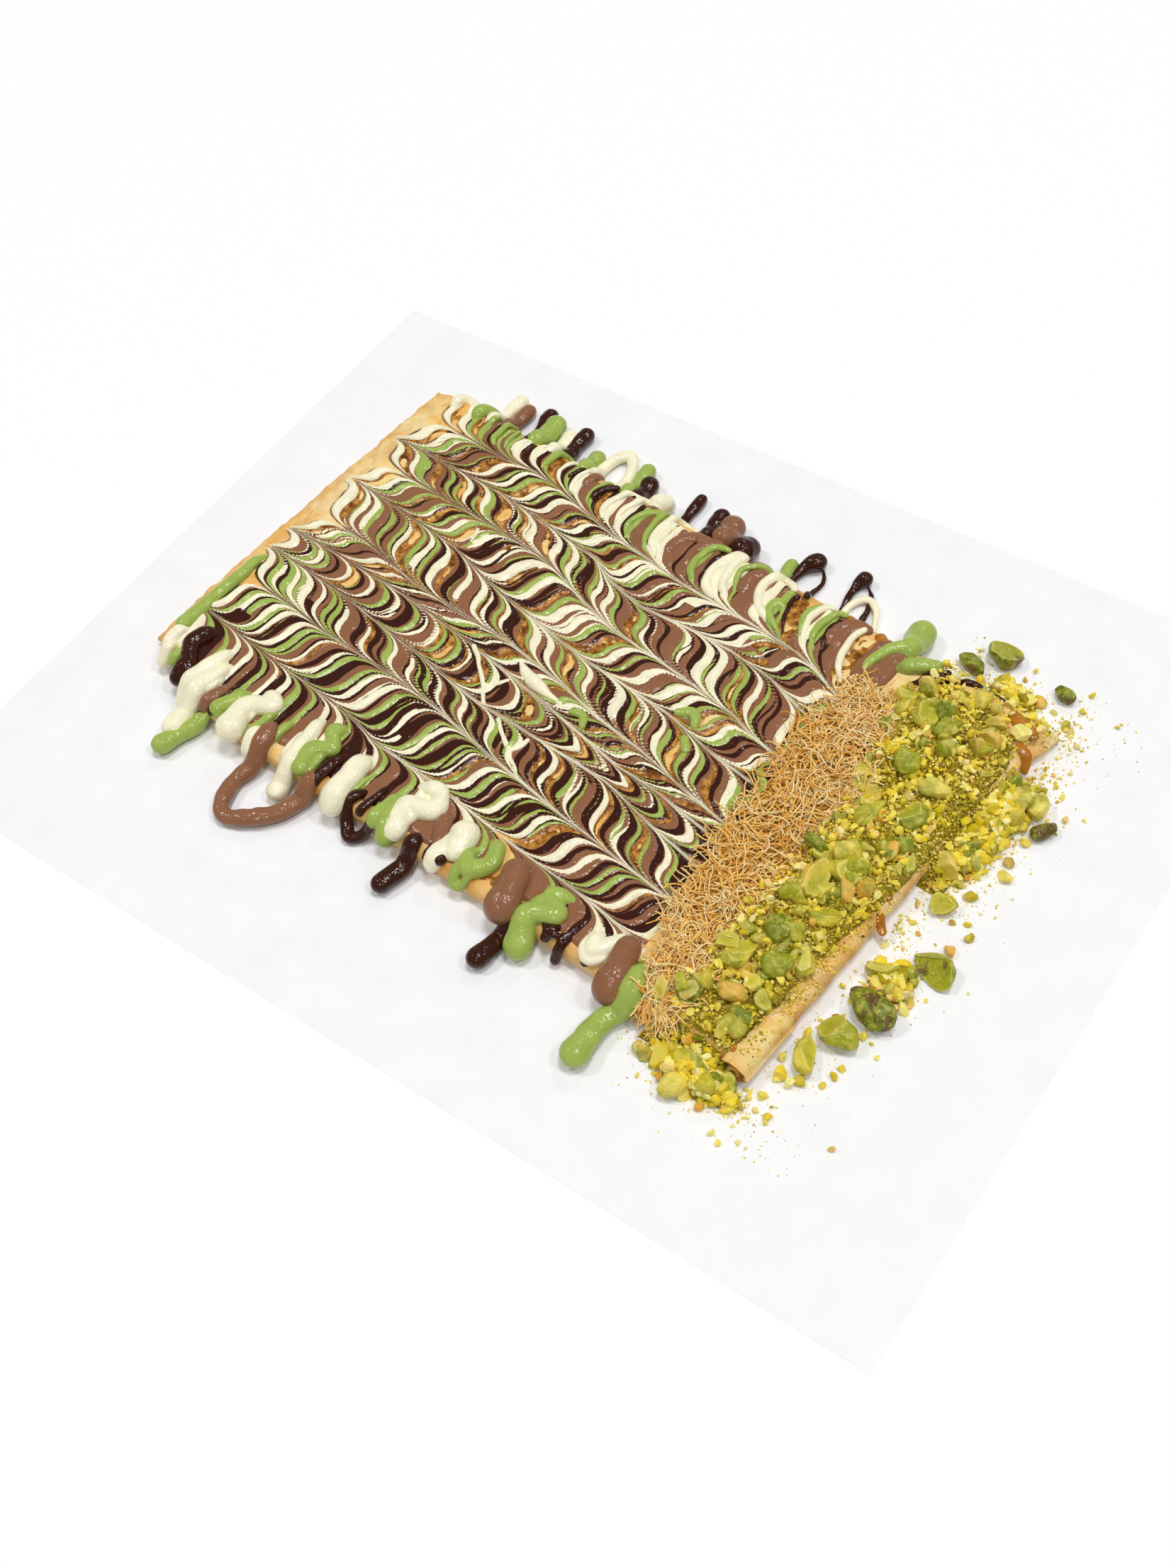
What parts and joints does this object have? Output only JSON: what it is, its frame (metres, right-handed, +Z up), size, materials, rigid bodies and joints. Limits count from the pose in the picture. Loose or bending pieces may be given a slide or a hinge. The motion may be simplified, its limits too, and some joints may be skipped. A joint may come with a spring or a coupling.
{
  "type": "folded crepe dessert",
  "caption": "Folded crepe on a paper sheet, topped with combed chocolate and pistachio sauces that drip down its sides, a band of kataifi threads and crushed pistachio.",
  "frame": {"origin": "centre of the paper sheet's underside, on the surface that it lies on", "axes": "+X along the sheet's long side, towards the pistachio end of the crepe; +Y across; +Z up"},
  "size_m": [0.406, 0.3, 0.0186],
  "materials": {
    "baking_paper": "thin white silicone baking paper, matte",
    "crepe_and_sauces": "golden browned crepe with glossy white, milk and dark chocolate and green pistachio sauces",
    "fried_kataifi": "dry golden fried pastry threads",
    "crushed_pistachio": "rough crushed nut, yellow-green",
    "pistachio_kernel": "whole nut kernels, green with patches of brown-purple skin"
  },
  "bodies": {
    "root": {"paper_sheet": "baking_paper", "crepe": "crepe_and_sauces", "kataifi": "fried_kataifi", "crushed_pistachio": "crushed_pistachio", "spilled_pistachio_end": "crushed_pistachio", "spilled_pistachio_near_end": "crushed_pistachio", "spilled_pistachio_near_side": "crushed_pistachio", "spilled_pistachio_far_side": "crushed_pistachio", "pistachio_kernel_01": "pistachio_kernel", "pistachio_kernel_02": "pistachio_kernel", "pistachio_kernel_03": "pistachio_kernel", "pistachio_kernel_04": "pistachio_kernel", "pistachio_kernel_05": "pistachio_kernel", "pistachio_kernel_06": "pistachio_kernel", "pistachio_kernel_07": "pistachio_kernel", "pistachio_kernel_08": "pistachio_kernel", "pistachio_kernel_09": "pistachio_kernel", "pistachio_kernel_10": "pistachio_kernel", "pistachio_kernel_11": "pistachio_kernel", "pistachio_kernel_12": "pistachio_kernel", "pistachio_kernel_13": "pistachio_kernel", "pistachio_kernel_14": "pistachio_kernel", "pistachio_kernel_15": "pistachio_kernel", "pistachio_kernel_16": "pistachio_kernel", "pistachio_kernel_17": "pistachio_kernel", "pistachio_kernel_18": "pistachio_kernel", "pistachio_kernel_19": "pistachio_kernel", "pistachio_kernel_20": "pistachio_kernel", "pistachio_kernel_21": "pistachio_kernel", "pistachio_kernel_22": "pistachio_kernel", "pistachio_kernel_23": "pistachio_kernel", "pistachio_kernel_24": "pistachio_kernel", "pistachio_kernel_25": "pistachio_kernel", "pistachio_kernel_26": "pistachio_kernel", "pistachio_kernel_27": "pistachio_kernel"}
  },
  "joints": []
}
